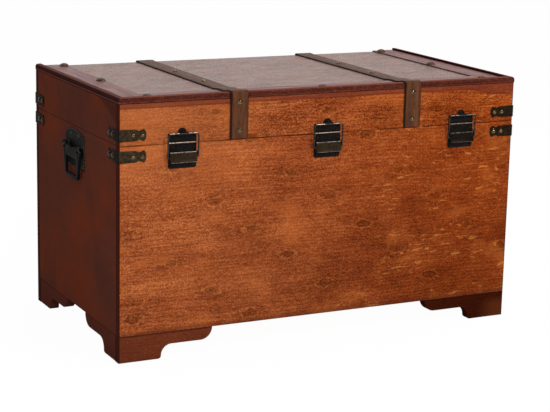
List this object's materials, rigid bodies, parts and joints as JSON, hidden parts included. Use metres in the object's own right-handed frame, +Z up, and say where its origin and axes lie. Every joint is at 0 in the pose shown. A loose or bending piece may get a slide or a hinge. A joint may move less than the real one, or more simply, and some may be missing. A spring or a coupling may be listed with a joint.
{
  "type": "sea chest",
  "caption": "Wooden storage trunk on bracket feet with a hinged, strapped and studded lid, draw latches, corner brackets and swinging side handles.",
  "frame": {"origin": "on the floor under the middle of the case", "axes": "+X to the right-hand end as the front is faced, +Y to the back where the lid is hinged, +Z up"},
  "size_m": [0.8444, 0.474, 0.4836],
  "materials": {
    "front_veneer": "orange-brown stained knotty veneer, satin lacquer",
    "side_stain": "dark mahogany stain, semi-gloss lacquer",
    "plain_board": "plain unstained plywood and softwood",
    "foot_stain": "dark reddish-brown stain, satin",
    "bead_stain": "dark red-brown stained bead, semi-gloss",
    "band_stain": "red mahogany stain, semi-gloss",
    "top_leather": "brown embossed leathercloth, soft sheen",
    "strap_leather": "smooth brown leather with pressed edge lines",
    "aged_brass": "aged, darkened brass",
    "bracket_bronze": "dark antique bronze plating",
    "hinge_steel": "blackened steel",
    "latch_black": "black finish, worn bright on its edges",
    "lever_bronze": "black over bronze, worn",
    "loop_steel": "blackened wire, worn",
    "handle_iron": "black casting, worn edges"
  },
  "bodies": {
    "chest": {"front_panel": "front_veneer", "back_panel": "front_veneer", "left_side_panel": "side_stain", "right_side_panel": "side_stain", "bottom_panel": "plain_board", "foot_glue_blocks": "plain_board", "foot_front_left_face": "foot_stain", "foot_front_left_side": "foot_stain", "foot_front_right_face": "foot_stain", "foot_front_right_side": "foot_stain", "foot_back_left_face": "foot_stain", "foot_back_left_side": "foot_stain", "foot_back_right_face": "foot_stain", "foot_back_right_side": "foot_stain", "body_bracket_nails": "aged_brass", "body_corner_brackets": "bracket_bronze", "hinge_body_leaves": "hinge_steel", "hinge_pins": "hinge_steel", "body_hinge_screws": "hinge_steel", "latch_base_plates": "latch_black", "latch_lever_pins": "latch_black", "latch_base_screws": "latch_black", "left_handle_plate": "handle_iron", "right_handle_plate": "handle_iron", "handle_pins": "handle_iron", "handle_screws": "handle_iron"},
    "lid": {"lid_front_rail": "front_veneer", "lid_back_rail": "front_veneer", "lid_left_rail": "side_stain", "lid_right_rail": "side_stain", "lid_top_board": "plain_board", "front_bead": "bead_stain", "left_bead": "bead_stain", "right_bead": "bead_stain", "left_end_band": "band_stain", "right_end_band": "band_stain", "front_band": "band_stain", "top_covering": "top_leather", "left_strap": "strap_leather", "right_strap": "strap_leather", "strap_nails": "aged_brass", "top_studs": "aged_brass", "lid_corner_brackets": "bracket_bronze", "lid_bracket_nails": "aged_brass", "hinge_lid_leaves": "hinge_steel", "lid_hinge_screws": "hinge_steel", "latch_catches": "latch_black", "latch_catch_screws": "latch_black"},
    "left_lever": {"left_latch_lever": "lever_bronze"},
    "left_loop": {"left_latch_loop": "loop_steel"},
    "middle_lever": {"middle_latch_lever": "lever_bronze"},
    "middle_loop": {"middle_latch_loop": "loop_steel"},
    "right_lever": {"right_latch_lever": "lever_bronze"},
    "right_loop": {"right_latch_loop": "loop_steel"},
    "left_bail": {"left_handle_bail": "handle_iron"},
    "right_bail": {"right_handle_bail": "handle_iron"}
  },
  "joints": [
    {"name": "lid_hinge", "type": "hinge", "parent": "chest", "child": "lid", "pos_m": [0, 0.229, 0.3952], "axis": [-1, 0, 0], "range_deg": [0, 100]},
    {"name": "left_lever_pivot", "type": "hinge", "parent": "chest", "child": "left_lever", "pos_m": [-0.29075, -0.2305, 0.3765], "axis": [-1, 0, 0], "range_deg": [0, 150]},
    {"name": "left_loop_pivot", "type": "hinge", "parent": "left_lever", "child": "left_loop", "pos_m": [-0.29075, -0.2308, 0.3698], "axis": [-1, 0, 0], "range_deg": [-150, 0]},
    {"name": "middle_lever_pivot", "type": "hinge", "parent": "chest", "child": "middle_lever", "pos_m": [0, -0.2305, 0.3765], "axis": [-1, 0, 0], "range_deg": [0, 150]},
    {"name": "middle_loop_pivot", "type": "hinge", "parent": "middle_lever", "child": "middle_loop", "pos_m": [0, -0.2308, 0.3698], "axis": [-1, 0, 0], "range_deg": [-150, 0]},
    {"name": "right_lever_pivot", "type": "hinge", "parent": "chest", "child": "right_lever", "pos_m": [0.29075, -0.2305, 0.3765], "axis": [-1, 0, 0], "range_deg": [0, 150]},
    {"name": "right_loop_pivot", "type": "hinge", "parent": "right_lever", "child": "right_loop", "pos_m": [0.29075, -0.2308, 0.3698], "axis": [-1, 0, 0], "range_deg": [-150, 0]},
    {"name": "left_bail_pivot", "type": "hinge", "parent": "chest", "child": "left_bail", "pos_m": [-0.417, -0.004, 0.3585], "axis": [0, 1, 0], "range_deg": [0, 90]},
    {"name": "right_bail_pivot", "type": "hinge", "parent": "chest", "child": "right_bail", "pos_m": [0.417, -0.004, 0.3585], "axis": [0, -1, 0], "range_deg": [0, 90]}
  ],
  "couplings": [
    {"joint": "left_loop_pivot", "follows": "left_lever_pivot", "ratio": -1},
    {"joint": "middle_loop_pivot", "follows": "middle_lever_pivot", "ratio": -1},
    {"joint": "right_loop_pivot", "follows": "right_lever_pivot", "ratio": -1}
  ]
}
